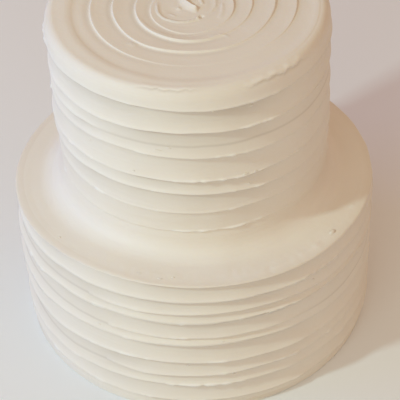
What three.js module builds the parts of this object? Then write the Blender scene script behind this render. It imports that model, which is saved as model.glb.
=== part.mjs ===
// A two-tier wedding cake iced in white buttercream, in millimetres, +Z up.
// The origin is the middle of the flat underside, and -Y is the front.
// Each tier is one closed skin of rows and columns. Its side is a stack of shallow
// channels left by a palette knife while the cake turned, with a ridge between each
// two, and the top of the upper tier is one channel wound into a spiral.
import * as THREE from "three";

// Driving dimensions
const LOWER_RADIUS = 108; // an 8 inch sponge with its icing
const LOWER_HEIGHT = 101.4;
const UPPER_RADIUS = 80.5; // a 6 inch sponge with its icing
const TOTAL_HEIGHT = 220;
const TIER_GAP = 0.3; // between the two solids
const COLUMNS = 60; // facets round each tier

// The ridges, from the top down. The five heights are where a ridge runs at 60 and 30
// degrees to the left of the front, at the front, and 30 and 60 degrees to the right.
// Its reach is how far it stands out from the bottom of a channel. A short ridge also
// has a start and an end, in degrees from the front towards the right.
const UPPER_RIDGES = [
  { at: [207.6, 208.7, 208.0, 207.7, 207.4], reach: 1.9 },
  { at: [193.6, 193.4, 193.1, 191.1, 190.0], reach: 1.7 },
  { at: [182.2, 183.0, 182.0, 181.0, 180.0], reach: 0.9, start: -100, end: -38 },
  { at: [174.2, 176.9, 175.5, 173.5, 172.1], reach: 1.8 },
  { at: [160.6, 159.9, 158.8, 157.4, 156.6], reach: 1.8 },
  { at: [149.2, 149.9, 149.3, 146.1, 144.1], reach: 1.4 },
  { at: [136.0, 135.2, 134.8, 133.9, 133.4], reach: 1.3 },
  { at: [121.5, 121.1, 120.3, 120.0, 119.8], reach: 1.0 },
];
const LOWER_RIDGES = [
  { at: [91.1, 92.8, 92.5, 91.3, 91.4], reach: 1.8 },
  { at: [81.6, 82.3, 83.1, 80.7, 79.4], reach: 1.3, start: -36, end: 200 },
  { at: [76.2, 76.2, 75.4, 75.0, 74.5], reach: 1.8 },
  { at: [63.5, 63.3, 63.0, 61.8, 60.4], reach: 1.0, start: -30, end: 36 },
  { at: [57.0, 58.2, 58.1, 55.9, 54.6], reach: 1.9 },
  { at: [39.6, 42.5, 43.5, 41.9, 40.4], reach: 1.9 },
  { at: [29.6, 30.5, 31.9, 31.8, 31.8], reach: 1.3, start: -32, end: 215 },
  { at: [22.6, 23.2, 23.4, 22.3, 21.8], reach: 1.6 },
  { at: [9.2, 10.0, 9.9, 9.3, 9.0], reach: 1.5 },
];
const REACH_MEAN = 0.84; // a ridge's reach varies round the cake by the second number
const REACH_VARIES = 0.16;
const SIDE_INSET = 1.6; // from a tier's radius, where its ridges reach, to the channels' bottom
const LOWER_SIDE = LOWER_RADIUS - SIDE_INSET;
const UPPER_SIDE = UPPER_RADIUS - SIDE_INSET;
const RIDGE_FOOT = 1.3; // from a ridge down to the foot of its undercut
const END_FADE = THREE.MathUtils.degToRad(12); // a short ridge dies away over this
const CHANNEL_ROWS = [0.42, 0.76]; // shares of the way down a channel
const LONG_CHANNEL = 9; // a shorter one makes do with the first of them

// The lower tier's top edge, every 30 degrees from the front towards the right. It runs
// highest at the front left.
const RIM_HEIGHTS = [
  105.6, 103.4, 103.2, 99.8, 98.3, 98.3, 98.5, 98.6, 98.9, 101.5, 104.6, 107.3,
];
const LIP_REACH = 1.2; // the edge stands out over the channel under it
const LIP_DROP = 0.9; // from the top down to where it stands out furthest
const LIP_ROUNDING = 1.2;
const LIP_WIDTH = 11;
const BASE_ROUNDING = 1.6;

// The upper tier's foot, smoothed out over the lower one, and its rounded top edge
const FOOT_RADIUS = 88.5;
const COVE_TOP = 117.8;
const COVE_POWER = 2.6;
const COVE_ROWS = 5;
const FOOT_THICKNESS = 0.5;
const FOOT_MARGIN = 3; // a row of the lower top runs this far outside the foot
const SHOULDER_RADIUS = UPPER_SIDE + 1;
const SHOULDER_WIDTH = 5.5;
const SHOULDER_HEIGHT = 7.5;
const SHOULDER_ROWS = 4;

// The spiral on the top. Its turns are counted from the front, anticlockwise from above.
const SPIRAL_RADII = [
  14.1, 16.4, 16.2, 19.8, 27.5, 26.2, 26.6, 28.6, 34.6, 36, 37, 41, 44.8, 49.2, 49.8, 53.8, 56.2,
  60.8, 62.5,
]; // of its crest, every quarter turn
const SPIRAL_LENGTH = 4.45; // in turns
const SPIRAL_TURNS = Math.ceil(SPIRAL_LENGTH);
const SPIRAL_DEPTH = 0.4; // from the level of the top down to the bottom of a channel
const SPIRAL_CREST = 1.4; // and from there up to the crest
const SPIRAL_FALL = 1.2; // a crest drops outwards over this width
const SPIRAL_SHARES = [0, 0.4, 0.7]; // of the way from the foot of that drop to the next crest
const SPIRAL_ROWS = SPIRAL_SHARES.length + 1; // from one crest to the next
const SPIRAL_FADE = 0.2; // in turns, at both ends
const CENTRE_RADIUS = 4;

// The low ring round the spiral, nearer to the edge at the right
const RIM_RING_RADIUS = 70;
const RIM_RING_TO_RIGHT = 3;
const RIM_RING_TO_FRONT = 1;
const RIM_RING_HEIGHT = 0.7;
const RIM_RING_FOOT = 1.3; // from its crest out to its foot
const RIM_RING_SLOPE = 2.2; // and in to the spiral
const CURL_HEIGHT = 3.2;
const CURL_LEAN = 2.4;
const CURL_ROW = { share: 0.55, rise: 0.75 }; // its one row, between the foot and the tip

// The slow waves that a ridge follows behind the cake: how far each goes up and down,
// how many there are round the cake, where it starts, and how that shifts with height,
// so that no two ridges run alike.
const SWAY = [
  [0.9, 1, 0.7, 0.009],
  [0.65, 2, 0.5, 0.029],
  [0.4, 3, 1.9, -0.045],
];

const TAU = 2 * Math.PI;
const KNOTS = 12; // places round the cake between which a height is interpolated
const FRONT_KNOTS = [10, 11, 0, 1, 2]; // those that a ridge's five heights stand for
const COLUMN_ANGLES = Array.from({ length: COLUMNS }, (_, k) => (TAU * k) / COLUMNS);
const icing = () =>
  new THREE.MeshStandardMaterial({ color: 0xf1e9da, roughness: 0.55, metalness: 0 });

// Angles run from the front (-Y) towards the right (+X), anticlockwise from above.
const around = (radius, angle, z) =>
  new THREE.Vector3(radius * Math.sin(angle), -radius * Math.cos(angle), z);

// A smooth curve through evenly spaced values, where pick gives the value at an index.
function smoothCurve(pick, place) {
  const first = Math.floor(place);
  const t = place - first;
  const [a, b, c, d] = [-1, 0, 1, 2].map((step) => pick(first + step));
  return b + 0.5 * t * (c - a + t * (2 * a - 5 * b + 4 * c - d + t * (3 * (b - c) + d - a)));
}

// The same through values spaced evenly round the cake.
function throughKnots(values, angle) {
  const place = (angle / TAU) * KNOTS;
  return smoothCurve((index) => values[((index % KNOTS) + KNOTS) % KNOTS], place);
}

// How far a ridge wanders up and down behind the cake.
function sway(z, angle) {
  return SWAY.reduce(
    (sum, [reach, waves, start, drift]) => sum + reach * Math.cos(waves * angle + start + drift * z),
    0,
  );
}

function ridgeKnots({ at }) {
  const mean = at.reduce((sum, z) => sum + z, 0) / at.length;
  const values = Array.from({ length: KNOTS }, (_, k) => mean + sway(mean, (TAU * k) / KNOTS));
  FRONT_KNOTS.forEach((knot, i) => (values[knot] = at[i]));
  return values;
}

// 1 inside a short ridge's stretch, fading to 0 past its ends.
function stretch({ start, end }, angle) {
  if (start === undefined) return 1;
  const from = THREE.MathUtils.degToRad(start);
  const length = THREE.MathUtils.degToRad(end - start);
  const along = (((angle - from) % TAU) + TAU) % TAU;
  const inside = Math.min(along, length - along);
  return THREE.MathUtils.smoothstep(inside, -END_FADE / 2, END_FADE);
}

// A tier's side, between a top and a bottom that are functions of the angle.
class Side {
  constructor({ radius, ridges, top, bottom }) {
    this.radius = radius;
    this.ridges = ridges.map((ridge) => ({ ...ridge, knots: ridgeKnots(ridge) }));
    this.top = top;
    this.bottom = bottom;
  }

  // The height of a ridge, or of the side's top (-1) or bottom (past the last ridge).
  line(index, angle) {
    if (index < 0) return this.top(angle) + RIDGE_FOOT;
    if (index >= this.ridges.length) return this.bottom(angle);
    return throughKnots(this.ridges[index].knots, angle);
  }

  // From its crest a ridge slopes slowly back over the whole channel above it, and falls
  // in at once below.
  relief(z, angle) {
    let out = 0;
    this.ridges.forEach((ridge, index) => {
      const crest = this.line(index, angle);
      const channel = this.line(index - 1, angle) - RIDGE_FOOT - crest;
      const away = z >= crest ? (z - crest) / channel : (crest - z) / RIDGE_FOOT;
      const uneven = REACH_MEAN + REACH_VARIES * Math.sin(2 * angle + 2.4 * index);
      if (away < 1) out += ridge.reach * uneven * stretch(ridge, angle) * (1 - away) ** 2;
    });
    return out;
  }

  at(z, angle) {
    return around(this.radius + this.relief(z, angle), angle, z);
  }

  // A row at a share of the way down the channel under a line.
  channelRow(index, share) {
    return (angle) => {
      const above = this.line(index, angle) - RIDGE_FOOT;
      return this.at(above - share * (above - this.line(index + 1, angle)), angle);
    };
  }

  // Its rows from the bottom up, each as a function of the angle.
  rows() {
    const rows = [this.channelRow(-1, 0.5)];
    this.ridges.forEach((ridge, index) => {
      rows.push((angle) => this.at(this.line(index, angle), angle), this.channelRow(index, 0));
      const channel = this.line(index, 0) - RIDGE_FOOT - this.line(index + 1, 0);
      const shares = channel > LONG_CHANNEL ? CHANNEL_ROWS : CHANNEL_ROWS.slice(0, 1);
      if (channel > RIDGE_FOOT) rows.push(...shares.map((share) => this.channelRow(index, share)));
    });
    return rows.reverse();
  }
}

// A closed skin, gathered as points and triangles. Its rows run from the middle of the
// underside out, up the side and in over the top.
class Skin {
  points = [];
  faces = [];

  add({ x, y, z }) {
    this.points.push(x, y, z);
    return this.points.length / 3 - 1;
  }

  ring(pointAt) {
    return COLUMN_ANGLES.map((angle) => this.add(pointAt(angle)));
  }

  // A four-sided cell, or a three-sided one where two of its corners are the same.
  cell(a, b, c, d) {
    if (a !== b && b !== c) this.faces.push(a, b, c);
    if (c !== d && d !== a) this.faces.push(a, c, d);
  }

  band(row, next) {
    row.forEach((corner, k) => {
      const after = (k + 1) % COLUMNS;
      this.cell(corner, row[after], next[after], next[k]);
    });
  }

  bands(rows) {
    rows.slice(1).forEach((row, i) => this.band(rows[i], row));
  }

  closeBelow(ring, point) {
    const pole = this.add(point);
    this.band(ring.map(() => pole), ring);
  }

  closeAbove(ring, point) {
    const pole = this.add(point);
    this.band(ring, ring.map(() => pole));
  }

  geometry() {
    const geometry = new THREE.BufferGeometry();
    const positions = new Float32Array(this.points);
    geometry.setAttribute("position", new THREE.BufferAttribute(positions, 3));
    geometry.setIndex(this.faces);
    geometry.computeVertexNormals();
    return geometry;
  }
}

const rimHeight = (angle) => throughKnots(RIM_HEIGHTS, angle);

// The lower tier's top runs straight from its middle to the uneven edge.
const lowerTop = (radius, angle) =>
  LOWER_HEIGHT + (rimHeight(angle) - LOWER_HEIGHT) * (radius / LOWER_RADIUS);

function lowerTier() {
  const skin = new Skin();
  const lipFoot = (angle) => rimHeight(angle) - LIP_DROP - RIDGE_FOOT;
  const side = new Side({
    radius: LOWER_SIDE,
    ridges: LOWER_RIDGES,
    top: lipFoot,
    bottom: () => BASE_ROUNDING,
  });
  const onTop = (radius) => (angle) => around(radius, angle, lowerTop(radius, angle));
  const lip = LOWER_SIDE + LIP_REACH;
  const rows = [
    (angle) => around(LOWER_SIDE - BASE_ROUNDING, angle, 0),
    (angle) => around(LOWER_SIDE - BASE_ROUNDING / 3, angle, BASE_ROUNDING / 3),
    ...side.rows(),
    (angle) => around(LOWER_SIDE, angle, lipFoot(angle)),
    (angle) => around(lip, angle, lipFoot(angle) + RIDGE_FOOT),
    onTop(lip - LIP_ROUNDING),
    onTop(lip - LIP_WIDTH),
    onTop(FOOT_RADIUS + FOOT_MARGIN),
  ].map((pointAt) => skin.ring(pointAt));
  skin.bands(rows);
  skin.closeBelow(rows[0], { x: 0, y: 0, z: 0 });
  skin.closeAbove(rows.at(-1), { x: 0, y: 0, z: LOWER_HEIGHT });
  return skin.geometry();
}

// The hollow curve from the foot up to the side.
function coveRow(rise) {
  return (angle) => {
    const reach = (FOOT_RADIUS - UPPER_SIDE) * (1 - rise) ** COVE_POWER;
    const foot = lowerTop(FOOT_RADIUS, angle) + TIER_GAP + FOOT_THICKNESS;
    return around(UPPER_SIDE + reach, angle, foot + (COVE_TOP - foot) * rise);
  };
}

function shoulderRow(rise) {
  const turn = (rise * Math.PI) / 2;
  const radius = SHOULDER_RADIUS - SHOULDER_WIDTH * (1 - Math.cos(turn));
  return (angle) => around(radius, angle, TOTAL_HEIGHT - SHOULDER_HEIGHT * (1 - Math.sin(turn)));
}

function rimRingRadius(angle) {
  return RIM_RING_RADIUS + RIM_RING_TO_RIGHT * Math.sin(angle) + RIM_RING_TO_FRONT * Math.cos(angle);
}

// The radius of the spiral's crest after some turns.
function crestRadius(turns) {
  const last = SPIRAL_RADII.length - 1;
  return smoothCurve((index) => SPIRAL_RADII[THREE.MathUtils.clamp(index, 0, last)], 4 * turns);
}

// How strong the crest is after some turns: it fades at both ends.
function crestStrength(turns) {
  return THREE.MathUtils.smoothstep(Math.min(turns, SPIRAL_LENGTH - turns), 0, SPIRAL_FADE);
}

// Height over the level of the top. Each crest rises over the whole channel inside it and
// drops at once outside.
function topRelief(radius, angle) {
  let height = -SPIRAL_DEPTH;
  for (let n = 0; n < SPIRAL_TURNS; n += 1) {
    const turns = n + angle / TAU;
    const crest = crestRadius(turns);
    const channel = crest - spiralLine(n, angle) - SPIRAL_FALL;
    const share = radius > crest ? (radius - crest) / SPIRAL_FALL : (crest - radius) / channel;
    if (share < 1) height += SPIRAL_CREST * crestStrength(turns) * (1 - share) ** 2;
  }
  return height;
}

// The lines that the spiral's grid follows, from the middle out: a circle, the crest of
// each turn in order, and the slope up to the ring.
function spiralLine(index, angle) {
  if (index === 0) return CENTRE_RADIUS;
  if (index > SPIRAL_TURNS) return rimRingRadius(angle) - RIM_RING_SLOPE;
  return crestRadius(index - 1 + angle / TAU);
}

function spiralPoint(row, angle) {
  const line = Math.floor(row / SPIRAL_ROWS);
  const step = row % SPIRAL_ROWS;
  let radius = spiralLine(line, angle);
  if (step > 0) {
    const foot = radius + SPIRAL_FALL;
    radius = THREE.MathUtils.lerp(foot, spiralLine(line + 1, angle), SPIRAL_SHARES[step - 1]);
  }
  return around(radius, angle, TOTAL_HEIGHT + topRelief(radius, angle));
}

// Adds the spiral's grid, and returns its outer and inner rings. A crest that comes round
// to the first column again is one line further out there, so the last column is joined
// to the first with its rows shifted by one line.
function addSpiral(skin) {
  const last = (SPIRAL_TURNS + 1) * SPIRAL_ROWS;
  const columns = COLUMN_ANGLES.map((angle) =>
    Array.from({ length: last + 1 }, (_, row) => skin.add(spiralPoint(row, angle))),
  );
  const kept = (row) => THREE.MathUtils.clamp(row, 0, last);
  columns.forEach((left, k) => {
    const right = columns[(k + 1) % COLUMNS];
    const shift = k === COLUMNS - 1 ? SPIRAL_ROWS : 0;
    for (let row = -shift; row < last; row += 1) {
      const [inner, outer] = [kept(row + shift), kept(row + 1 + shift)];
      skin.cell(left[kept(row + 1)], right[outer], right[inner], left[kept(row)]);
    }
  });
  return { outer: columns.map((column) => column[last]), inner: columns.map(([first]) => first) };
}

// The small curl in the middle leans over where the knife came away.
function curlPoint(radius, angle, rise) {
  const point = around(radius, angle, TOTAL_HEIGHT + CURL_HEIGHT * rise);
  point.x += CURL_LEAN * rise;
  point.y -= CURL_LEAN * rise;
  return point;
}

function upperTier() {
  const skin = new Skin();
  const side = new Side({
    radius: UPPER_SIDE,
    ridges: UPPER_RIDGES,
    top: () => TOTAL_HEIGHT - SHOULDER_HEIGHT,
    bottom: () => COVE_TOP,
  });
  const onRing = (offset, height) => (angle) =>
    around(rimRingRadius(angle) + offset, angle, TOTAL_HEIGHT + height);
  const rises = (count, from) => Array.from({ length: count }, (_, i) => (i + from) / count);
  const rows = [
    (angle) => around(FOOT_RADIUS, angle, lowerTop(FOOT_RADIUS, angle) + TIER_GAP),
    ...rises(COVE_ROWS, 0).map(coveRow),
    ...side.rows(),
    shoulderRow(0),
    ...rises(SHOULDER_ROWS, 1).map(shoulderRow),
    onRing(RIM_RING_FOOT, 0),
    onRing(0, RIM_RING_HEIGHT),
  ].map((pointAt) => skin.ring(pointAt));
  const { outer, inner } = addSpiral(skin);
  skin.bands([...rows, outer]);
  skin.closeBelow(rows[0], { x: 0, y: 0, z: LOWER_HEIGHT + TIER_GAP });
  const curl = skin.ring((angle) => curlPoint(CURL_ROW.share * CENTRE_RADIUS, angle, CURL_ROW.rise));
  skin.band(inner, curl);
  skin.closeAbove(curl, curlPoint(0, 0, 1));
  return skin.geometry();
}

function named(name, geometry) {
  const mesh = new THREE.Mesh(geometry, icing());
  mesh.name = name;
  return mesh;
}

const cake = new THREE.Group();
cake.name = "tiered_cake";
cake.add(named("lower_tier", lowerTier()));
cake.add(named("upper_tier", upperTier()));

export default cake;
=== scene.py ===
import math

import bmesh
import bpy
import numpy as np
from mathutils import Matrix, Vector


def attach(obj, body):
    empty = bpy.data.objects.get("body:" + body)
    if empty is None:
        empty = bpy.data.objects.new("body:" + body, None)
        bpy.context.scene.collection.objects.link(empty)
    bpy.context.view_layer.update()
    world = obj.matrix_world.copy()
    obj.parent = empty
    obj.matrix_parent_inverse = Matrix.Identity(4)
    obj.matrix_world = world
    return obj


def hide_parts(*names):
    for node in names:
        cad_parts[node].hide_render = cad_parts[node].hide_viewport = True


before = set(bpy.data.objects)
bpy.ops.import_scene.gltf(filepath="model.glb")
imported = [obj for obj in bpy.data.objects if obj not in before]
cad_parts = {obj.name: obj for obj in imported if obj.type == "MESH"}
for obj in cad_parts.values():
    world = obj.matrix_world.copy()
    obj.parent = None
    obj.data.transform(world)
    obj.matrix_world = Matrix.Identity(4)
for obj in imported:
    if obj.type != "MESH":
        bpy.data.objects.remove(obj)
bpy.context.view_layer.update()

MM = 0.001
TAU = 2 * math.pi

# The main sizes of the cake, as in the model
LOWER_RADIUS = 108
LOWER_HEIGHT = 101.4
UPPER_RADIUS = 80.5
TOTAL_HEIGHT = 220

# Each ridge of a side from the top down: its heights at 60 and 30 degrees left, at the
# front, and at 30 and 60 degrees right, how far it stands out, and how strongly shade is painted
# under it and a highlight on it. A short one has its ends, in degrees from the front, and some are
# soft.
UPPER_RIDGES = [
    {"at": [207.6, 208.7, 208.0, 207.7, 207.4], "reach": 1.9, "line": 1.0},
    {"at": [193.6, 193.4, 193.1, 191.1, 190.0], "reach": 1.7, "line": 0.9},
    {"at": [182.2, 183.0, 182.0, 181.0, 180.0], "reach": 0.9, "line": 0.8, "ends": (-100, -38)},
    {"at": [174.2, 176.9, 175.5, 173.5, 172.1], "reach": 1.8, "line": 0.45, "soft": 0.8},
    {"at": [160.6, 159.9, 158.8, 157.4, 156.6], "reach": 1.8, "line": 0.85},
    {"at": [149.2, 149.9, 149.3, 146.1, 144.1], "reach": 1.4, "line": 0.75},
    {"at": [136.0, 135.2, 134.8, 133.9, 133.4], "reach": 1.3, "line": 0.3, "soft": 0.6},
    {"at": [121.5, 121.1, 120.3, 120.0, 119.8], "reach": 1.0, "line": 0.05, "soft": 0.35},
]
LOWER_RIDGES = [
    {"at": [91.1, 92.8, 92.5, 91.3, 91.4], "reach": 1.8, "line": 1.0},
    {"at": [81.6, 82.3, 83.1, 80.7, 79.4], "reach": 1.3, "line": 0.7, "ends": (-36, 200)},
    {"at": [76.2, 76.2, 75.4, 75.0, 74.5], "reach": 1.8, "line": 0.8},
    {"at": [63.5, 63.3, 63.0, 61.8, 60.4], "reach": 1.0, "line": 0.5, "ends": (-30, 36)},
    {"at": [57.0, 58.2, 58.1, 55.9, 54.6], "reach": 1.9, "line": 0.6},
    {"at": [39.6, 42.5, 43.5, 41.9, 40.4], "reach": 1.9, "line": 0.9},
    {"at": [29.6, 30.5, 31.9, 31.8, 31.8], "reach": 1.3, "line": 0.7, "ends": (-32, 215)},
    {"at": [22.6, 23.2, 23.4, 22.3, 21.8], "reach": 1.6, "line": 0.6},
    {"at": [9.2, 10.0, 9.9, 9.3, 9.0], "reach": 1.5, "line": 0.5},
]
# Heights are set at this many places round the cake, and these of them are at the front
KNOTS = 12
FRONT_KNOTS = [10, 11, 0, 1, 2]
# Behind the cake a ridge sways: how far, in how many waves, where they start, and how much
# that shifts with each millimetre of height
SWAY = [(0.9, 1, 0.7, 0.009), (0.65, 2, 0.5, 0.029), (0.4, 3, 1.9, -0.045)]
# How far a ridge stands out is this share, more or less, in waves that shift by ridge
REACH_MEAN = 0.84
REACH_VARIES = 0.16
REACH_WAVES = 2
REACH_SHIFT = 2.4
# From a ridge down to where its channel begins, and from its crest in to the tier's side
RIDGE_FOOT = 1.3
SIDE_INSET = 1.6
LOWER_SIDE = LOWER_RADIUS - SIDE_INSET
UPPER_SIDE = UPPER_RADIUS - SIDE_INSET
BASE_ROUNDING = 1.6

# The edge of the lower top, with its heights all round from the front towards the right.
# It stands out by the reach at the drop's depth, and is softer on the left.
RIM_HEIGHTS = [105.6, 103.4, 103.2, 99.8, 98.3, 98.3, 98.5, 98.6, 98.9, 101.5, 104.6, 107.3]
LIP_REACH = 1.2
LIP_DROP = 0.9
LIP_ROUNDING = 1.2
LIP_SOFTNESS = 3.4

# The hollow curve of icing from the upper tier's side down over the lower top: the part
# inside the foot's radius belongs to the upper tier, and the lower one runs on just under it
COVE_TOP = 117.8
COVE_WIDTH = 12.5
LEFT_COVE_WIDTH = 15.5
FOOT_RADIUS = 86.2
COVE_OVERLAP = 0.04

SHOULDER_RADIUS = UPPER_SIDE + 1
SHOULDER_WIDTH = 5.5
SHOULDER_HEIGHT = 7.5

# The spiral's radius at every quarter of a turn from the front, and how strongly its crest
# stands out at every eighth
SPIRAL_RADII = [
    14.1, 16.4, 16.2, 19.8, 27.5, 26.2, 26.6, 28.6, 34.6, 36, 37, 41, 44.8, 49.2, 49.8, 53.8,
    56.2, 60.8, 62.5,
]
SPIRAL_STRENGTHS = [
    0.0, 0.2, 0.4, 0.5, 0.5, 0.4, 0.4, 0.4, 0.3, 0.15, 0.9, 0.9, 0.9, 0.95, 1.05, 1.1, 0.8,
    0.25, 0.6, 0.8, 0.9, 0.8, 0.9, 0.5, 1.0, 0.3, 0.8, 0.9, 0.8, 0.8, 0.6, 0.35, 0.1, 0.1,
    0.5, 0.6, 0.4,
]
SPIRAL_LENGTH = 4.45
SPIRAL_TURNS = 5
SPIRAL_FADE = 0.2
SPIRAL_DEPTH = 0.4
SPIRAL_CREST = 1.2
SPIRAL_FALL = 0.7
LONGEST_SLOPE = 11
CURL_RADIUS = 12
# The shallow ditch outside a crest: its depth, its distance and its width
DITCH = 0.3, 1.7, 1.3

# The low ring round the spiral, which is stronger on the left
RIM_RING_RADIUS = 70
RIM_RING_TO_RIGHT = 3
RIM_RING_TO_FRONT = 1
RIM_RING_HEIGHT = 0.7
RIM_RING_SHARE = 0.35
RIM_RING_LEFT_SHARE = 0.3
RIM_RING_GAP = 2.2
RIM_RING_SLOPE = 4.5

# Knife strokes in and near the middle of the top: the height of the crest, how far it
# reaches on its steep and its gentle side, and the points that it runs through, with the
# steep side on the right of the way
STROKES = [
    (1.1, 0.7, 2.4, [(-16.4, 4), (-16.6, -2.1), (-16.0, -7.9), (-13.4, -12.6), (-9.5, -15.3),
                     (-4.4, -17.1), (0.8, -16.7), (4.8, -14.9), (6.5, -13.5)]),
    (0.4, 0.7, 1.3, [(-26.2, -11.7), (-23.9, -17.4), (-20.6, -22.1), (-16.8, -25.6),
                     (-12.4, -28.4), (-6.0, -30.2), (1.8, -29.4), (10.9, -26.7)]),
    (0.5, 0.8, 1.6, [(11.4, -32.0), (15.6, -30.9), (19.8, -30.4), (21.6, -32.7)]),
    (0.5, 0.9, 2.0, [(17.3, -14.9), (19.4, -9.4), (19.8, 0.2)]),
    (2.6, 1.3, 4.0, [(6.4, -5.2), (4.4, -4.6), (1.8, -2.4), (-0.4, 1.4), (-1.3, 4.6), (-0.2, 7.6)]),
    (1.2, 0.9, 2.0, [(1.5, 8.5), (4.8, 7.2), (7.6, 3.4), (8.4, -1.5)]),
    (0.6, 0.6, 0.9, [(-10.1, -8.3), (-8.0, -9.8), (-6.2, -10.8)]),
    (0.5, 0.8, 1.2, [(-5.4, -3.6), (-3.9, -4.6), (-3.0, -4.4)]),
    (0.7, 0.9, 1.4, [(-31.5, -33), (-29.5, -35), (-27.4, -35.6)]),
]
STROKE_FADE = -0.01, 0.16
STROKE_POWER = 1.6
# Round bumps and dips there: the place, how high, and how wide
DABS = [
    (5.8, -13.9, 1.1, 1.0), (7.9, -12.2, -1.3, 0.9), (-4.6, -3.4, 0.5, 1.0),
    (-7.5, -6.5, -0.5, 3.4), (3.6, 0.6, -0.8, 1.6), (-29.0, -36.4, 0.5, 0.8),
]

# How the icing falls in under a ridge: at once, and then slowly
UNDERCUT = 1.6
SCOOP = 4.5
UNDERCUT_SHARE = 0.55
NARROWEST_CHANNEL = 0.5
END_FADE = math.radians(18)
TORN_FADE = math.radians(8)

# The left and the right of the cake: the direction in degrees from the front, and the
# cosines of the angle from it where that side starts and where it is full
LEFT = -80, 0.35, 0.9
RIGHT = 75, 0.6, 0.93
LEFT_DEPTH = 0.2

# The thin edge that the knife pushes up along a ridge, and where it is torn into burrs:
# which ridge, and from where to where in degrees
BEAD = 0.22
BEAD_WIDTH = 0.45
BURR = 1.1
UPPER_BURRS = [(1, 18, 40), (3, 6, 26), (4, -8, 28), (5, 20, 34), (7, -4, 29)]
LOWER_BURRS = [(5, 2, 9), (0, 28, 52), (2, 18, 34), (7, -12, 14), (3, -40, -28), (6, 24, 36)]
# Elsewhere it is torn by chance, where the noise passes this
TORN_FROM = 0.9
MOST_TORN = 0.6
RAGGED_MEAN = 0.5

# How a tier's side looks: how deep its channels are, what share of that is left on the
# right, how strongly shade is painted under its top edge and a highlight on it, and how far its top
# stands out where no channel lies over the first ridge
LOWER_LOOK = {
    "radius": LOWER_SIDE, "ridges": LOWER_RIDGES, "burrs": LOWER_BURRS, "seed": 100,
    "depth": 1.9, "right": 0.5, "top_painted_shade": 0.9, "crown": None,
}
UPPER_LOOK = {
    "radius": UPPER_SIDE, "ridges": UPPER_RIDGES, "burrs": UPPER_BURRS, "seed": 200,
    "depth": 1.7, "right": 0.3, "top_painted_shade": 0, "crown": SHOULDER_RADIUS - UPPER_SIDE,
}

# Small torn bits of icing on a side: the degrees from the front, the height, and the
# length and width
UPPER_FLECKS = [
    (8.1, 205.4, 1.2, 0.9), (-24.0, 162.6, 1.7, 1.3), (-13.5, 179.6, 5.0, 0.8),
    (-9.5, 181.6, 3.2, 1.0), (20.8, 158.4, 4.0, 1.2), (25.2, 158.2, 2.8, 1.1),
    (22.6, 149.8, 1.4, 1.0), (24.0, 203.0, 1.8, 0.8), (-46.0, 170.0, 1.4, 0.7),
    (96.0, 187.0, 2.4, 0.9), (141.0, 165.0, 1.9, 1.1), (-122.0, 196.0, 2.6, 0.8),
    (-168.0, 151.0, 1.7, 1.0),
]
LOWER_FLECKS = [
    (4.9, 57.4, 2.2, 1.1), (6.9, 58.9, 1.6, 0.7), (-4.4, 38.9, 1.2, 0.9),
    (10.4, 28.4, 1.3, 0.9), (-33.0, 61.0, 1.8, 0.7), (38.0, 84.0, 1.6, 0.8),
    (104.0, 64.0, 2.6, 1.0), (152.0, 38.0, 1.8, 1.1), (-100.0, 70.0, 2.0, 0.8),
    (-146.0, 47.0, 2.6, 0.9),
]
# And on the lower top: the degrees, the radius, and the length and width
TOP_FLECKS = [
    (-51.6, 100.2, 1.5, 1.2), (49.6, 102.0, 4.2, 2.1), (-19.0, 101.0, 2.4, 0.8),
    (-12.0, 102.8, 2.8, 1.0), (-8.0, 100.6, 1.8, 1.0), (158.0, 101.0, 2.4, 1.0),
    (-133.0, 99.0, 1.8, 1.2),
]
FLECK_SIDES = 10
FLECK_TILTS = np.radians([-58, -24, 12, 50])
FLECK_GIRTHS = 0.6, 1.2
FLECK_RISE = 0.6
FLECK_LEAN = 0.25
FLECK_UP = 0, 0, 0.6
UPPER_FLECK_SEED = 32
LOWER_FLECK_SEED = 31

# Where the shoulder is torn into a ragged edge: from and to in degrees, how far up the
# shoulder's curve in degrees, and how far it stands out. Then how it fades above and
# below, and how far under it and how wide a shadow is painted, all in degrees of that curve.
SHOULDER_TEARS = [(-22, 3, 68, 0.3), (22, 52, 42, 0.9), (118, 141, 46, 0.5)]
TEAR_FADE = 34
TEAR_EDGE = 5
PAINTED_TEAR_SHADOW_DROP = 8
PAINTED_TEAR_SHADOW_WIDTH = 7

# The lower top: where its rim is patchy, in radii and as a direction, and where the knife
# dragged a thin ridge along it: from and to in degrees, the radius, width and height
PATCH_RADII = 92, 99
PATCH_FRONT = 5.7296, 0.45, 0.9
RIM_DRAG = 14, 84
RIM_DRAG_RADIUS = 101.8
RIM_DRAG_WIDTH = 1.1
RIM_DRAG_HEIGHT = 0.45
RIM_DRAG_MEAN = 0.6
TOP_STREAK_RADII = 88, 93
# Under the upper tier it falls away
TUCK_SLOPE = 0.9
TUCK_WIDTH = 1.5
COVERED_RADII = 70, 40, 10
COVERED_DEPTH = 3

# Layers of noise: the height, the size of the lumps, and the seed
RIDGE_WANDER = [(0.45, 26, 0), (0.22, 7, 20)]
REACH_ROUGHNESS = [(0.22, 18, 40)]
KNIFE_STREAKS = [(0.13, [34, 34, 1.5], 60), (0.1, [60, 60, 3.2], 61)]
BEAD_TEARS = [(2.2, 11, 70)]
BEAD_ROUGHNESS = [(0.8, 2.6, 80)]
PAINTED_LINE_ROUGHNESS = [(0.4, 22, 90)]
UNEVENNESS = [(0.35, 38, 300), (0.16, 13, 301)]
LIP_WANDER = [(0.3, 14, 7), (0.16, 3, 12)]
TOP_STREAKS = [(0.1, [30, 30, 2.2], 8)]
RIM_PATCHES = [(0.16, 2.7, 11)]
RIM_DRAG_ROUGHNESS = [(1, 4, 13)]
SPIRAL_STREAKS = [(0.1, [1, 1, 1.9], 9)]
SPIRAL_STREAK_RADIUS = 0.7
TEAR_JAG = [(11, 2.3, 23), (3, 8, 24)]
# Along the spiral the second number is how many lumps come to a turn
CREST_WANDER = 0.45, 11, 22
STRENGTH_WANDER = 0.25, 9, 21
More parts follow.
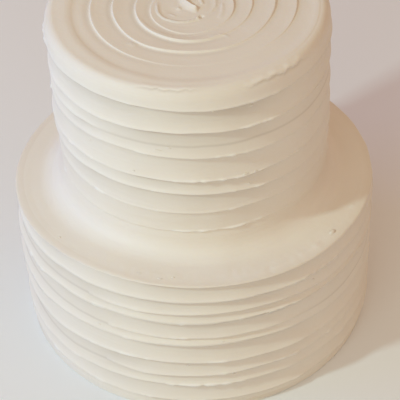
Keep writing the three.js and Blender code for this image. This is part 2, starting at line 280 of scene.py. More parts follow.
# The underside stays flat, and the unevenness is full from this height on
FLAT_BASE = 0.5, 8

# Painted shade: the icing's colour is darkened under a ridge, less and less down its
# channel, and a highlight is painted along the next ridge
PAINTED_SHADE_DEPTH = 0.62
PAINTED_SHADE_START = 1.1
PAINTED_SHADE_POWER = 1.4
PAINTED_LINE_CALM = 1.5
PAINTED_EDGE_HIGHLIGHT = 0.35
PAINTED_EDGE_HIGHLIGHT_WIDTH = 1.6
# A highlight painted along torn burrs, and its width
PAINTED_BURR_HIGHLIGHT = 1.6
PAINTED_BURR_HIGHLIGHT_WIDTH = 0.7
# A highlight painted on the shoulder's torn edges, and a shadow painted under them
PAINTED_TEAR_HIGHLIGHT = 0.5
PAINTED_TEAR_SHADOW = 0.35
# Light painted into the lower top's colour, paler still towards and in the cove, and where and over
# what width that grows
PAINTED_TOP_LIGHT = 0.35
PAINTED_COVE_LIGHT = 0.6
PAINTED_COVE_LIGHT_RADII = 93, 86
PAINTED_COVE_LIGHT_WIDTH = 4
# Along the spiral, painted highlight and painted shade: how pale or deep, how far outside the
# crest, and how wide
SPIRAL_PAINTED_LIGHT = [(0.3, 0, 0.8), (-0.25, 2.2, 1.5)]

# The fineness of the meshes. Shares run from one line to the next, and turns are angles
# on a rounding.
LOWER_COLUMNS = 500
UPPER_COLUMNS = 360
ROW_STEP = 1.05
ROWS_TO_CREST = 1.4
CREST_SHARES = [0, 0.12, 0.28, 0.5, 0.76]
BASE_SHARES = np.linspace(0.2, 1, 6)
BASE_TURNS = np.linspace(0.2, 0.9, 4) * math.pi / 2
UNDER_LIP_SHARES = [0.25, 0.5, 0.8]
LIP_TURNS = np.linspace(0, 1, 7) * math.pi / 2
LOWER_TOP_RADII = np.linspace(102.5, 83.5, 20)
SKIRT_REACH = 0.6
SKIRT_DEPTH = 1.5
SKIRT_STEP = 0.1
UNDERSIDE_DEPTH = 1
COVE_SPAN = 7
COVE_SHARES = np.linspace(1, 0.12, 14)
SHOULDER_TURNS = np.linspace(0.06, 1, 22) * math.pi / 2
RIM_SHARES = [0.2, 0.4, 0.6, 0.8, 1]
FALL_SHARES = [0, 0.17, 0.4, 0.69, 1]
SPIRAL_SHARES = [0.07, 0.18, 0.32, 0.46, 0.6, 0.74, 0.87, 0.97]
SPIRAL_ROWS = len(FALL_SHARES) + len(SPIRAL_SHARES)
CENTRE_RADIUS = 19
CENTRE_RINGS = 33
STROKE_STEPS = 5
LATTICE = 41
WELD = 0.012

# The materials
TINTS = (0.86, 0.80, 0.70, 1), (0.90, 0.85, 0.76, 1)
# The colours that painted shade and painted highlights mix the icing towards
PAINTED_SHADE_COLOUR = (0.56, 0.50, 0.42, 1)
PAINTED_HIGHLIGHT_COLOUR = (0.97, 0.94, 0.87, 1)
ROUGHNESS = 0.42, 0.66
TINT_NOISE = 28, 4
SATIN_NOISE = 60, 5
ICING = {
    "Subsurface Weight": 0.06,
    "Subsurface Radius": (1.0, 0.75, 0.5),
    "Subsurface Scale": 0.0015,
    "Specular IOR Level": 0.4,
}
# Fine relief: its strength and depth, and the scale, detail and stretch of its noise
BUMPS = [
    (0.5, 0.0006, 55, 3, (1, 1, 1)),
    (0.45, 0.0005, 14, 2, (1, 1, 34)),
    (0.35, 0.0002, 420, 3, (1, 1, 1)),
]
FLOOR_COLOUR = (0.91, 0.94, 0.96, 1)
FLOOR_ROUGHNESS = 0.9

# The stage, in metres
CAMERA_AT = (0, -0.71484, 0.71801)
CAMERA_RIGHT = (0.99910263, -0.0306352, -0.02924739)
CAMERA_UP = (0.04223668, 0.66911083, 0.74196142)
CAMERA_AHEAD = (0.00316039, 0.74253093, -0.66980433)
CAMERA_LENS = 140.39
CAMERA_SENSOR = 36
FLOOR_SIZE = 8
ROOM_COLOUR = (0.536, 0.388, 0.2835, 1)
# Each light's name, direction, distance, size, power and colour
LIGHTS = [
    ("window", (-0.84, -0.54, 0.85), 1.6, 0.1, 7.0, (0.74, 1.0, 0.995)),
    ("sky", (-1, 0.05, 0.35), 3.2, 2.4, 25.0, (0.0, 0.205, 1.0)),
    ("room_front", (-0.4, -0.9, 0.5), 1.6, 0.9, 3.7, (0.769, 1.0, 0.934)),
]
LIGHTS_AIM_AT = (0, 0, 0.12)


def smoothstep(value, low, high):
    share = np.clip((value - low) / (high - low), 0, 1)
    return share**2 * (3 - 2 * share)


def bell(value, middle, width):
    return np.exp(-(((value - middle) / width) ** 2))


def polar(radius, angle, z):
    """Points at angles from the front towards the right."""
    return np.stack(np.broadcast_arrays(radius * np.sin(angle), -radius * np.cos(angle), z), -1)


def shaded(ring, shade):
    """The points of a row with their painted shade or highlight as a fourth number."""
    return np.concatenate([ring, np.broadcast_to(shade, len(ring))[:, None]], -1)


def column_angles(columns):
    return TAU * np.arange(columns) / columns


def noise(points, size, seed):
    """Smooth noise from -1 to 1, in lumps of about that size, which may differ by axis."""
    lattice = np.random.default_rng(seed).uniform(-1, 1, (LATTICE,) * 3)
    place = points / size
    cell = np.floor(place).astype(int)
    share = place - cell
    share = share**2 * (3 - 2 * share)
    total = np.zeros(points.shape[:-1])
    for corner in np.ndindex(2, 2, 2):
        weight = np.prod(np.where(corner, share, 1 - share), axis=-1)
        total += weight * lattice[tuple(np.moveaxis((cell + corner) % LATTICE, -1, 0))]
    return total


def roughness(points, layers, seed=0):
    """Layers of noise on top of each other."""
    return sum(height * noise(points, size, seed + own) for height, size, own in layers)


def smooth_curve(values, place, index_of):
    """A smooth curve through evenly spaced values. index_of keeps an index in their range."""
    values = np.asarray(values)
    first = np.floor(place).astype(int)
    t = place - first
    a, b, c, d = (values[index_of(first + step)] for step in (-1, 0, 1, 2))
    return b + 0.5 * t * (c - a + t * (2 * a - 5 * b + 4 * c - d + t * (3 * (b - c) + d - a)))


def through_knots(values, angle):
    """The same through values spaced evenly round the cake."""
    return smooth_curve(values, angle / TAU * KNOTS, lambda index: index % KNOTS)


def along_values(values, place):
    """The same through values that stop at the first and the last."""
    last = len(values) - 1
    return smooth_curve(values, place, lambda index: np.clip(index, 0, last))


def ridge_knots(at):
    """The heights of a ridge: those given at the front, and slow waves behind the cake."""
    mean = sum(at) / len(at)
    angle = column_angles(KNOTS)
    sway = 0
    for reach, waves, start, shift in SWAY:
        sway = sway + reach * np.cos(waves * angle + start + shift * mean)
    values = mean + sway
    values[FRONT_KNOTS] = at
    return values


def stretch(ends, angle, fade=END_FADE):
    """1 inside a short ridge's stretch, fading to 0 past its ends."""
    if ends is None:
        return np.ones_like(angle)
    start, end = map(math.radians, ends)
    along = (angle - start) % TAU
    return smoothstep(np.minimum(along, end - start - along), -fade / 2, fade)


def side_share(angle, side):
    """1 on one side of the cake, fading to 0 away from it."""
    degrees, start, full = side
    return smoothstep(np.cos(angle - math.radians(degrees)), start, full)


class Side:
    """The side of a tier at some angles: ridges and channels between a top and a bottom."""

    def __init__(self, look, top, bottom, angle):
        self.look = look
        self.ridges = look["ridges"]
        self.angle = angle
        self.calm = 1 - (1 - look["right"]) * side_share(angle, RIGHT)
        self.depth = (look["depth"] + LEFT_DEPTH * side_share(angle, LEFT)) * self.calm
        mids = [through_knots(ridge_knots(ridge["at"]), angle) for ridge in self.ridges]
        lines = [mid + self.rough(mid, RIDGE_WANDER, index) for index, mid in enumerate(mids)]
        self.lines = [top + RIDGE_FOOT, *lines, bottom + 0 * angle]
        self.reaches = [self.reach(index) for index in range(len(self.ridges))]
        self.beads = [self.bead(index) for index in range(len(self.ridges))]

    def rough(self, z, layers, index=0):
        """Noise round the side at heights z, different for every ridge."""
        ring = polar(self.look["radius"], self.angle, z)
        return roughness(ring, layers, self.look["seed"] + index)

    def standing(self, index):
        """1 where a ridge stands, and 0 where a short one has ended."""
        return stretch(self.ridges[index].get("ends"), self.angle)

    def reach(self, index):
        """How far a ridge stands out, which differs round the cake."""
        ridge = self.ridges[index]
        uneven = REACH_MEAN + REACH_VARIES * np.sin(REACH_WAVES * self.angle + REACH_SHIFT * index)
        uneven = uneven * (1 + self.rough(self.lines[index + 1], REACH_ROUGHNESS, index))
        return ridge["reach"] * ridge.get("soft", 1) * uneven * self.standing(index)

    def bead(self, index):
        """How high the edge along a ridge stands, which is ragged where it is torn."""
        crest = self.lines[index + 1]
        torn = np.clip(self.rough(crest, BEAD_TEARS, index) - TORN_FROM, 0, MOST_TORN)
        for ridge, start, end in self.look["burrs"]:
            if ridge == index:
                torn = np.maximum(torn, stretch((start, end), self.angle, TORN_FADE))
        ragged = np.clip(RAGGED_MEAN + self.rough(crest, BEAD_ROUGHNESS, index), 0, 1)
        return (BEAD + BURR * torn * ragged) * self.standing(index)

    def gap(self, index):
        """How far the next ridge lies under a line, past one that has ended."""
        gap = self.lines[index] - self.lines[index + 1]
        if index < len(self.ridges):
            further = self.lines[index + 1] - self.lines[index + 2]
            gap = gap + (1 - self.standing(index)) * further
        return gap

    def channel(self, index):
        """How far the channel over a ridge reaches up, past a ridge that has ended."""
        channel = self.lines[index] - self.lines[index + 1] - RIDGE_FOOT
        channel = np.maximum(channel, NARROWEST_CHANNEL)
        if index:
            further = self.lines[index - 1] - self.lines[index]
            channel = channel + (1 - self.standing(index - 1)) * further
        return channel

    def shade(self, z):
        """The shade and highlights painted into the colour at heights z per column, from -1 in
        painted shade up to 1.
        """
        shade = np.zeros_like(z)
        for index, crest in enumerate(self.lines[:-1]):
            line = self.ridges[index - 1]["line"] if index else self.look["top_painted_shade"]
            line = line * self.calm**PAINTED_LINE_CALM * (1 + self.rough(crest, PAINTED_LINE_ROUGHNESS, index))
            if index:
                line = line * self.standing(index - 1)
                # A highlight painted along a torn burr
                torn = self.beads[index - 1] - BEAD
                shade += PAINTED_BURR_HIGHLIGHT * torn * bell(z, crest, PAINTED_BURR_HIGHLIGHT_WIDTH)
            # Shade painted down the channel under a ridge, and a highlight painted just above its
            # crest
            down = np.clip((crest - z) / self.gap(index), 0, 1)
            hollow = (1 - down) ** PAINTED_SHADE_POWER * smoothstep(crest - z, 0, PAINTED_SHADE_START)
            edge = bell(z, crest, PAINTED_EDGE_HIGHLIGHT_WIDTH) * (z >= crest)
            shade += line * (PAINTED_EDGE_HIGHLIGHT * edge - PAINTED_SHADE_DEPTH * hollow)
        return shade

    def relief(self, z):
        """How far out of the tier's side the icing stands, at heights z per column."""
        crown = self.look["crown"]
        out = np.zeros_like(z)
        beads = np.zeros_like(z)
        for index, reach in enumerate(self.reaches):
            crest = self.lines[index + 1]
            above = np.clip(1 - (z - crest) / self.channel(index), 0, 1) ** 2
            if crown is not None and index == 0:
                above = 1
            below = UNDERCUT_SHARE * np.clip(1 - (crest - z) / UNDERCUT, 0, 1) ** 2
            below += (1 - UNDERCUT_SHARE) * np.clip(1 - (crest - z) / SCOOP, 0, 1) ** 2
            out += reach * np.where(z >= crest, above, below)
            beads += self.beads[index] * bell(z, crest, BEAD_WIDTH)
        out = SIDE_INSET + self.depth * (out - SIDE_INSET)
        if crown is not None:
            out += (crown - out) * smoothstep(z, self.lines[1], self.lines[0] - RIDGE_FOOT)
        return out + beads

    def row(self, z):
        radius = self.look["radius"] + self.relief(z) + self.rough(z, KNIFE_STREAKS)
        return shaded(polar(radius, self.angle, z), self.shade(z))

    def rows(self):
        """The rows from the bottom up, closest together at the ridges."""
        rows = []
        for index, crest in enumerate(self.lines[:-1]):
            if index:
                rows += [self.row(crest - share * RIDGE_FOOT) for share in CREST_SHARES]
            start, following = crest - RIDGE_FOOT, self.lines[index + 1]
            count = max(2, round(float(np.mean(start - following)) / ROW_STEP))
            shares = 1 - (1 - np.arange(count) / count) ** ROWS_TO_CREST
            rows += [self.row(start + share * (following - start)) for share in shares]
        return rows[::-1]


class Skin:
    """A closed skin, gathered as rows of points and the faces between them. A point may
    have its painted shade or highlight as a fourth number."""

    def __init__(self):
        self.points = []
        self.faces = []
        self.count = 0

    def add(self, points):
        points = np.atleast_2d(points)
        if points.shape[1] == 3:
            points = shaded(points, 0)
        self.points.append(points)
        self.count += len(points)
        return np.arange(self.count - len(points), self.count)

    def band(self, row, following):
        corners = [row, np.roll(row, -1), np.roll(following, -1), following]
        self.faces += np.stack(corners, -1).tolist()

    def bands(self, rows):
        for row, following in zip(rows, rows[1:]):
            self.band(row, following)

    def close_below(self, ring, point):
        pole = int(self.add(point)[0])
        self.faces += [[pole, int(b), int(a)] for a, b in zip(ring, np.roll(ring, -1))]

    def close_above(self, ring, point):
        pole = int(self.add(point)[0])
        self.faces += [[int(a), int(b), pole] for a, b in zip(ring, np.roll(ring, -1))]

    def fleck(self, place, along, length, width, draw):
        """A small torn bit of icing that lies along the surface, half sunk in it."""
        out = np.array([place[0], place[1], 0.0]) / np.hypot(place[0], place[1])
        out = out - along * np.dot(out, along)
        if along[2] == 0:
            out = out + FLECK_UP
        out = out / np.linalg.norm(out)
        across = np.cross(out, along)
        turns = column_angles(FLECK_SIDES)
        rings = []
        for tilt in FLECK_TILTS:
            girth = math.cos(tilt) * draw.uniform(*FLECK_GIRTHS, FLECK_SIDES)
            ring = place + along * length / 2 * math.sin(tilt)
            ring = ring + np.outer(girth * np.cos(turns), across * width / 2)
            ring = ring + np.outer(girth * np.sin(turns), out * width * FLECK_RISE)
            rings.append(self.add(ring))
        self.bands(rings)
        self.close_below(rings[0], place - along * length / 2)
        self.close_above(rings[-1], place + along * length / 2)

    def side_flecks(self, side_at, flecks, draw):
        for degrees, z, length, width in flecks:
            angle = math.radians(degrees)
            lean = draw.uniform(-FLECK_LEAN, FLECK_LEAN)
            tangent = np.array([math.cos(angle), math.sin(angle), lean])
            place = side_at(np.array([angle])).row(np.array([z]))[0, :3]
            self.fleck(place, tangent / np.linalg.norm(tangent), length, width, draw)

    def top_flecks(self, row_at, flecks, draw):
        for degrees, radius, length, width in flecks:
            angle = math.radians(degrees)
            tangent = np.array([math.cos(angle), math.sin(angle), 0])
            place = row_at(radius, np.array([angle]))[0, :3]
            self.fleck(place, tangent, length, width, draw)

    def piece(self, name, material):
        mesh = bpy.data.meshes.new(name)
        gathered = np.concatenate(self.points)
        mesh.from_pydata((gathered[:, :3] * MM).tolist(), [], self.faces)
        # The painted shade and highlights go to the mesh as its shade attribute
        shade = gathered[:, 3].astype(np.float32)
        mesh.attributes.new("shade", "FLOAT", "POINT").data.foreach_set("value", shade)
        weld(mesh)
        mesh.shade_smooth()
        make_uneven(mesh)
        mesh.materials.append(material)
        made = bpy.data.objects.new(name, mesh)
        bpy.context.scene.collection.objects.link(made)
        return made


def weld(mesh):
    """Joins points that all but coincide, so that no sliver is left between them."""
    cleaned = bmesh.new()
    cleaned.from_mesh(mesh)
    bmesh.ops.remove_doubles(cleaned, verts=cleaned.verts, dist=WELD * MM)
    cleaned.to_mesh(mesh)
    cleaned.free()
    mesh.update()


def make_uneven(mesh):
    """Moves hand-spread icing a little out of its form or in, apart from the flat underside."""
    points, normals = (np.zeros(3 * len(mesh.vertices), np.float32) for _ in range(2))
    mesh.vertices.foreach_get("co", points)
    mesh.vertices.foreach_get("normal", normals)
    points = points.reshape(-1, 3) / MM
    out = roughness(points, UNEVENNESS) * smoothstep(points[:, 2], *FLAT_BASE)
    moved = points + normals.reshape(-1, 3) * out[:, None]
    mesh.vertices.foreach_set("co", (moved * MM).astype(np.float32).ravel())
    mesh.update()


def rim_height(angle):
    return through_knots(RIM_HEIGHTS, angle)


def lower_top(radius, angle):
    return LOWER_HEIGHT + (rim_height(angle) - LOWER_HEIGHT) * (radius / LOWER_RADIUS)


def cove(radius, angle):
    """The height of the hollow curve over the lower top."""
    width = COVE_WIDTH + (LEFT_COVE_WIDTH - COVE_WIDTH) * side_share(angle, LEFT)
    inwards = np.clip(1 - (radius - UPPER_SIDE) / width, 0, 1)
    return (COVE_TOP - lower_top(UPPER_SIDE, angle)) * (1 - np.sqrt(1 - inwards**2))


# The lower tier

def lower_side(angle):
    lip_foot = rim_height(angle) - LIP_DROP - RIDGE_FOOT
    return Side(LOWER_LOOK, lip_foot, BASE_ROUNDING, angle)


def base_rows(angle):
    """The flat underside and the rounding at its edge."""
    flat = LOWER_SIDE - BASE_ROUNDING
    rows = [polar(share * flat, angle, 0.0) for share in BASE_SHARES]
    for turn in BASE_TURNS:
        radius = LOWER_SIDE - BASE_ROUNDING * (1 - math.sin(turn))
        rows.append(polar(radius, angle, BASE_ROUNDING * (1 - math.cos(turn))))
    return rows


def lip_rows(side, angle):
    """The edge that stands out over the first channel, from under it round to the top."""
    foot = side.lines[0] - RIDGE_FOOT
    wander = roughness(polar(LOWER_RADIUS, angle, foot), LIP_WANDER)
    lip = LOWER_SIDE + LIP_REACH + wander
    soft = LIP_ROUNDING + LIP_SOFTNESS * side_share(angle, LEFT)
    under = np.hypot(*side.row(foot)[:, :2].T)
    rows = []
    for share in UNDER_LIP_SHARES:
        row = polar(under + share * (lip - under), angle, foot + RIDGE_FOOT * share**0.5)
        rows.append(shaded(row, side.shade(row[:, 2])))
    for turn in LIP_TURNS:
        radius = lip - soft * (1 - math.cos(turn))
        z = lower_top(lip - soft, angle) - LIP_DROP * (1 - math.sin(turn))
        rows.append(polar(radius, angle, z))
    return rows


def lower_top_row(radius, angle):
    """A row of the lower top, which is streaked, patchy along its front edge, and has light painted
    into its colour, more towards the cove.
    """
    ring = polar(radius, angle, lower_top(radius, angle))
    z = ring[:, 2]
    place = np.stack(np.broadcast_arrays(ring[:, 0], ring[:, 1], radius), -1)
    z += cove(radius, angle) + roughness(place, TOP_STREAKS) * smoothstep(radius, *TOP_STREAK_RADII)
    z -= COVE_OVERLAP * (radius < FOOT_RADIUS)
    z -= TUCK_SLOPE * max(FOOT_RADIUS - TUCK_WIDTH - radius, 0)
    patchy = smoothstep(radius, *PATCH_RADII) * side_share(angle, PATCH_FRONT)
    z += patchy * roughness(ring, RIM_PATCHES)
    dragged = stretch(RIM_DRAG, angle) * bell(radius, RIM_DRAG_RADIUS, RIM_DRAG_WIDTH)
    z += RIM_DRAG_HEIGHT * dragged * (RIM_DRAG_MEAN + roughness(ring, RIM_DRAG_ROUGHNESS))
    # Light painted into the colour, more towards the cove
    light = PAINTED_TOP_LIGHT + (PAINTED_COVE_LIGHT - PAINTED_TOP_LIGHT) * smoothstep(radius, *PAINTED_COVE_LIGHT_RADII)
    return shaded(ring, light)


def lower_tier(material):
    angle = column_angles(LOWER_COLUMNS)
    side = lower_side(angle)
    covered = LOWER_HEIGHT - COVERED_DEPTH
    rows = base_rows(angle) + side.rows() + lip_rows(side, angle)
    rows += [lower_top_row(radius, angle) for radius in LOWER_TOP_RADII]
    rows += [polar(radius, angle, covered) for radius in COVERED_RADII]
    skin = Skin()
    rings = [skin.add(row) for row in rows]
    skin.bands(rings)
    skin.close_below(rings[0], (0, 0, 0))
    skin.close_above(rings[-1], (0, 0, covered))
    draw = np.random.default_rng(LOWER_FLECK_SEED)
    skin.side_flecks(lower_side, LOWER_FLECKS, draw)
    skin.top_flecks(lower_top_row, TOP_FLECKS, draw)
    return skin.piece("lower_tier_icing", material)


# The upper tier

def upper_side(angle):
    return Side(UPPER_LOOK, TOTAL_HEIGHT - SHOULDER_HEIGHT + 0 * angle, COVE_TOP, angle)


def cove_row(radius, angle):
    # The cove has light painted into its colour, growing out from the tier's side
    ring = polar(radius, angle, lower_top(radius, angle) + cove(radius, angle))
    return shaded(ring, PAINTED_COVE_LIGHT * min((radius - UPPER_SIDE) / PAINTED_COVE_LIGHT_WIDTH, 1))


def shoulder_row(turn, angle):
    """A row on the shoulder's curve, with its torn edges, a highlight painted on them and a shadow
    painted under them.
    """
    jag = roughness(polar(SHOULDER_RADIUS, angle, TOTAL_HEIGHT), TEAR_JAG)
    out, shade = 0 * angle, 0 * angle
    for start, end, middle, height in SHOULDER_TEARS:
        above = math.degrees(turn) - middle - jag
        here = stretch((start, end), angle, TORN_FADE)
        edge = here * smoothstep(above, -TEAR_EDGE, 0) * (1 - smoothstep(above, 0, TEAR_FADE))
        out += height * edge
        shade += PAINTED_TEAR_HIGHLIGHT * edge
        shade -= PAINTED_TEAR_SHADOW * here * bell(above, -PAINTED_TEAR_SHADOW_DROP, PAINTED_TEAR_SHADOW_WIDTH)
    radius = SHOULDER_RADIUS - SHOULDER_WIDTH * (1 - math.cos(turn)) + out * math.cos(turn)
    z = TOTAL_HEIGHT - SHOULDER_HEIGHT * (1 - math.sin(turn)) + out * math.sin(turn)
    return shaded(polar(radius, angle, z), shade)


def rim_ring_radius(angle):
    return RIM_RING_RADIUS + RIM_RING_TO_RIGHT * np.sin(angle) + RIM_RING_TO_FRONT * np.cos(angle)


def rim_ring_height(angle):
    return RIM_RING_HEIGHT * (RIM_RING_SHARE + RIM_RING_LEFT_SHARE * side_share(angle, LEFT))


def rim_row(share, angle):
    """A row between the shoulder and the ring round the spiral."""
    edge = SHOULDER_RADIUS - SHOULDER_WIDTH
    radius = edge + share * (rim_ring_radius(angle) - edge)
    return polar(radius, angle, TOTAL_HEIGHT + rim_ring_height(angle) * smoothstep(share, 0, 1))


def wander(turns, layer):
    """Noise along the spiral."""
    height, lumps, seed = layer
    return height * noise(np.stack([lumps * turns, 0 * turns, 0 * turns], -1), 1, seed)


def crest_radius(turns):
    """The radius of the spiral's crest after some turns, counted at the front. Its line goes
    on to the rim's ring, where no crest stands any more."""
    radius = along_values(SPIRAL_RADII, 4 * turns) + wander(turns, CREST_WANDER)
    ring = rim_ring_radius(turns * TAU) - RIM_RING_GAP
    return radius + (ring - radius) * smoothstep(turns, SPIRAL_LENGTH, SPIRAL_TURNS)


def crest_strength(turns):
    fade = smoothstep(np.minimum(turns, SPIRAL_LENGTH - turns), 0, SPIRAL_FADE)
    return fade * along_values(SPIRAL_STRENGTHS, 8 * turns) * (1 + wander(turns, STRENGTH_WANDER))


def spiral_crests(radius, angle):
    """Crests that drop at once outwards, over the channels between them."""
    height = 0 * radius
    depth, distance, width = DITCH
    for n in range(SPIRAL_TURNS):
        crest = crest_radius(n + angle / TAU)
        inner = crest_radius(n - 1 + angle / TAU) if n else CURL_RADIUS
        slope = np.minimum(crest - inner - SPIRAL_FALL, LONGEST_SLOPE)
        out = radius - crest
        share = np.where(out > 0, out / SPIRAL_FALL, -out / slope)
        strength = crest_strength(n + angle / TAU)
        height += SPIRAL_CREST * strength * np.clip(1 - share, 0, 1) ** 2
        height -= depth * strength * bell(out, distance, width)
    return height


def spiral_shade(radius, angle):
    """A highlight painted along the crests of the spiral, and shade painted just outside them."""
    shade = 0 * radius
    for n in range(SPIRAL_TURNS):
        out = radius - crest_radius(n + angle / TAU)
        strength = crest_strength(n + angle / TAU)
        for light, distance, width in SPIRAL_PAINTED_LIGHT:
            shade += light * strength * bell(out, distance, width)
    return shade


def stroke(x, y, height, steep, gentle, points):
    """The height of one knife stroke, which fades at its ends."""
    last = len(points) - 1
    place = np.linspace(0, last, last * STROKE_STEPS + 1)
    line = np.stack([along_values(values, place) for values in zip(*points)], -1)
    nearest, share_along, offset = np.full(x.shape, np.inf), np.zeros(x.shape), np.zeros(x.shape)
    for k, (start, end) in enumerate(zip(line, line[1:])):
        step = end - start
        length = np.hypot(*step)
        from_x, from_y = x - start[0], y - start[1]
        inside = np.clip((from_x * step[0] + from_y * step[1]) / length**2, 0, 1)
        gap = np.hypot(from_x - inside * step[0], from_y - inside * step[1])
        right = (from_x * step[1] - from_y * step[0]) / length
        closer = gap < nearest
        nearest = np.where(closer, gap, nearest)
        offset = np.where(closer, np.where(right > 0, gap / steep, gap / gentle), offset)
        share_along = np.where(closer, (k + inside) / (len(line) - 1), share_along)
    fade = smoothstep(np.minimum(share_along, 1 - share_along), *STROKE_FADE)
    return height * fade * np.clip(1 - offset, 0, 1) ** STROKE_POWER


def top_height(radius, angle):
    """The height of the upper top: the spiral in its low ring, and the strokes."""
    inside = smoothstep(rim_ring_radius(angle) - radius, 0, RIM_RING_SLOPE)
    height = TOTAL_HEIGHT + rim_ring_height(angle) * (1 - inside) - SPIRAL_DEPTH * inside
    height += spiral_crests(radius, angle)
    height += roughness(polar(SPIRAL_STREAK_RADIUS, angle, radius), SPIRAL_STREAKS)
    x, y = radius * np.sin(angle), -radius * np.cos(angle)
    for high, steep, gentle, points in STROKES:
        height += stroke(x, y, high, steep, gentle, points)
    for dab_x, dab_y, high, wide in DABS:
        height += high * np.exp(-(((x - dab_x) ** 2 + (y - dab_y) ** 2) / wide**2))
    return height


def top_row(radius, angle):
    return shaded(polar(radius, angle, top_height(radius, angle)), spiral_shade(radius, angle))


def spiral_line(index, angle):
    """The lines that the spiral's grid follows, from a circle in the middle out."""
    if index == 0:
        return CENTRE_RADIUS + 0 * angle
    if index > SPIRAL_TURNS:
        return rim_ring_radius(angle) - RIM_RING_GAP
    return np.maximum(crest_radius(index - 1 + angle / TAU), CENTRE_RADIUS)


def spiral_row(row, angle):
    """A row of the spiral's grid. A crest falls within a third of the way to the next."""
    line, step = divmod(row, SPIRAL_ROWS)
    here, following = spiral_line(line, angle), spiral_line(line + 1, angle)
    foot = here + np.minimum(SPIRAL_FALL, (following - here) / 3)
    if step < len(FALL_SHARES):
        return top_row(here + FALL_SHARES[step] * (foot - here), angle)
    share = SPIRAL_SHARES[step - len(FALL_SHARES)]
    return top_row(foot + share * (following - foot), angle)


def add_spiral(skin, angle):
    """Adds the spiral's grid and returns its outer and inner rings. Its last column meets
    the first with the rows shifted by one line, because the crests have moved out there."""
    last = (SPIRAL_TURNS + 1) * SPIRAL_ROWS
    rings = np.array([skin.add(spiral_row(row, angle)) for row in range(last + 1)])
    left, right = rings[:, :-1], rings[:, 1:]
    corners = [left[1:], right[1:], right[:-1], left[:-1]]
    skin.faces += np.stack(corners, -1).reshape(-1, 4).tolist()
    for row in range(-SPIRAL_ROWS, last):
        here = np.clip([row, row + 1], 0, last)
        there = np.clip([row + SPIRAL_ROWS, row + 1 + SPIRAL_ROWS], 0, last)
        cell = [rings[here[1], -1], rings[there[1], 0], rings[there[0], 0], rings[here[0], -1]]
        cell = list(dict.fromkeys(int(corner) for corner in cell))
        if len(cell) > 2:
            skin.faces.append(cell)
    return rings[last], rings[0]


def add_centre(skin, angle, ring):
    """Closes the top inside the innermost ring of the spiral's grid."""
    rings = [ring]
    for share in 1 - np.arange(1, CENTRE_RINGS) / CENTRE_RINGS:
        rings.append(skin.add(top_row(share * CENTRE_RADIUS + 0 * angle, angle)))
    skin.bands(rings)
    middle = top_height(np.zeros(1), np.zeros(1))[0]
    skin.close_above(rings[-1], (0, 0, middle))


def upper_tier(material):
    angle = column_angles(UPPER_COLUMNS)
    skirt = lower_top(FOOT_RADIUS, angle) - SKIRT_DEPTH
    rows = [polar(FOOT_RADIUS + SKIRT_REACH, angle, skirt)]
    rows += [cove_row(FOOT_RADIUS, angle), cove_row(FOOT_RADIUS - SKIRT_STEP, angle)]
    rows += [cove_row(UPPER_SIDE + COVE_SPAN * share**2, angle) for share in COVE_SHARES]
    rows += upper_side(angle).rows()
    rows += [shoulder_row(turn, angle) for turn in SHOULDER_TURNS]
    rows += [rim_row(share, angle) for share in RIM_SHARES]
    skin = Skin()
    rings = [skin.add(row) for row in rows]
    outer, inner = add_spiral(skin, angle)
    skin.bands([*rings, outer])
    skin.close_below(rings[0], (0, 0, LOWER_HEIGHT - UNDERSIDE_DEPTH))
    add_centre(skin, angle, inner)
    draw = np.random.default_rng(UPPER_FLECK_SEED)
    skin.side_flecks(upper_side, UPPER_FLECKS, draw)
    return skin.piece("upper_tier_icing", material)


# Materials

class Nodes:
    """Adds nodes to a material and links them."""

    def __init__(self, material):
        material.use_nodes = True
        self.tree = material.node_tree
        self.shader = self.tree.nodes["Principled BSDF"]

    def add(self, kind, values=(), **links):
        """A new node with the given values and linked inputs."""
        node = self.tree.nodes.new(kind)
        for socket, value in dict(values).items():
            node.inputs[socket].default_value = value
        for socket, source in links.items():
            self.tree.links.new(source, node.inputs[socket])
        return node

    def texture(self, where, scale, detail, stretched=(1, 1, 1)):
        mapped = self.add("ShaderNodeMapping", {"Scale": stretched}, Vector=where)
        values = {"Scale": scale, "Detail": detail}
        made = self.add("ShaderNodeTexNoise", values, Vector=mapped.outputs["Vector"])
        return made.outputs["Fac"]

    def map_range(self, source, values):
        return self.add("ShaderNodeMapRange", values, Value=source).outputs["Result"]

    def mix(self, factor, first, second):
        """A mix of two colours. The first may also be another node's output."""
        node = self.tree.nodes.new("ShaderNodeMix")
        node.data_type = "RGBA"
        self.tree.links.new(factor, node.inputs["Factor"])
        if isinstance(first, tuple):
            node.inputs["A"].default_value = first
        else:
            self.tree.links.new(first, node.inputs["A"])
        node.inputs["B"].default_value = second
        return node.outputs["Result"]

    def into_shader(self, source, socket):
        self.tree.links.new(source, self.shader.inputs[socket])


def icing_colour(nodes, where):
    """Ivory, with shade painted into the hollows and highlights painted along the edges."""
    colour = nodes.mix(nodes.texture(where, *TINT_NOISE), *TINTS)
    attribute = nodes.add("ShaderNodeAttribute")
    attribute.attribute_name = "shade"
    shade = attribute.outputs["Fac"]
    # Painted shade darkens the colour and painted highlights pale it, by the shade attribute
    for full, other in ((-1, PAINTED_SHADE_COLOUR), (1, PAINTED_HIGHLIGHT_COLOUR)):
        share = nodes.map_range(shade, {"From Min": 0, "From Max": full})
        colour = nodes.mix(share, colour, other)
    return colour


def icing_bumps(nodes, where):
    """The grain of the icing and the drag lines of a knife."""
    normal = {}
    for strength, distance, scale, detail, stretched in BUMPS:
        height = nodes.texture(where, scale, detail, stretched)
        values = {"Strength": strength, "Distance": distance}
        bump = nodes.add("ShaderNodeBump", values, Height=height, **normal)
        normal = {"Normal": bump.outputs["Normal"]}
    return normal["Normal"]


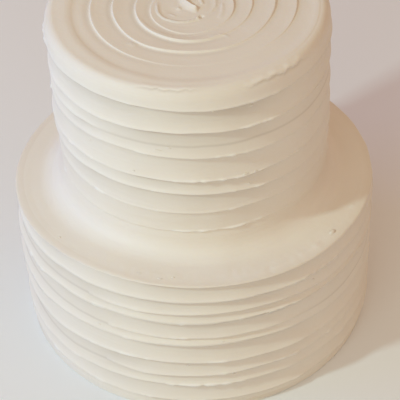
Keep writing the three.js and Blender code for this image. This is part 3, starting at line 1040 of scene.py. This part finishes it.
def icing_material(name):
    """Buttercream: ivory, satin and slightly translucent."""
    material = bpy.data.materials.new(name)
    nodes = Nodes(material)
    for socket, value in ICING.items():
        nodes.shader.inputs[socket].default_value = value
    where = nodes.add("ShaderNodeTexCoord").outputs["Object"]
    nodes.into_shader(icing_colour(nodes, where), "Base Color")
    least, most = ROUGHNESS
    satin = nodes.texture(where, *SATIN_NOISE)
    satin = nodes.map_range(satin, {"To Min": least, "To Max": most})
    nodes.into_shader(satin, "Roughness")
    nodes.into_shader(icing_bumps(nodes, where), "Normal")
    return material


# Stage

def add_camera():
    data = bpy.data.cameras.new("camera")
    data.lens = CAMERA_LENS
    data.sensor_width = CAMERA_SENSOR
    camera = bpy.data.objects.new("camera", data)
    back = -Vector(CAMERA_AHEAD)
    turned = Matrix((CAMERA_RIGHT, CAMERA_UP, back)).transposed().to_4x4()
    camera.matrix_world = Matrix.Translation(CAMERA_AT) @ turned
    bpy.context.scene.collection.objects.link(camera)
    bpy.context.scene.camera = camera


def add_area_light(name, towards, distance, size, power, colour):
    """A square soft light that shines at the cake from the given direction."""
    data = bpy.data.lights.new(name, "AREA")
    data.size = size
    data.energy = power
    data.color = colour
    light = bpy.data.objects.new(name, data)
    place = Vector(towards).normalized() * distance
    light.location = place + Vector(LIGHTS_AIM_AT)
    light.rotation_mode = "QUATERNION"
    light.rotation_quaternion = place.to_track_quat("Z", "Y")
    bpy.context.scene.collection.objects.link(light)


def add_floor():
    bpy.ops.mesh.primitive_plane_add(size=FLOOR_SIZE)
    floor = bpy.context.object
    floor.name = "floor"
    material = bpy.data.materials.new("floor")
    shader = Nodes(material).shader
    shader.inputs["Base Color"].default_value = FLOOR_COLOUR
    shader.inputs["Roughness"].default_value = FLOOR_ROUGHNESS
    floor.data.materials.append(material)


def add_world():
    world = bpy.data.worlds.new("room")
    world.use_nodes = True
    world.node_tree.nodes["Background"].inputs["Color"].default_value = ROOM_COLOUR
    bpy.context.scene.world = world


add_camera()
add_world()
add_floor()
for light in LIGHTS:
    add_area_light(*light)
bpy.context.scene.view_settings.view_transform = "Standard"

for tier, node, slot in (
    (lower_tier, "lower_tier", "lower_icing"),
    (upper_tier, "upper_tier", "upper_icing"),
):
    piece = tier(icing_material(slot))
    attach(piece, "root")
    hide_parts(node)
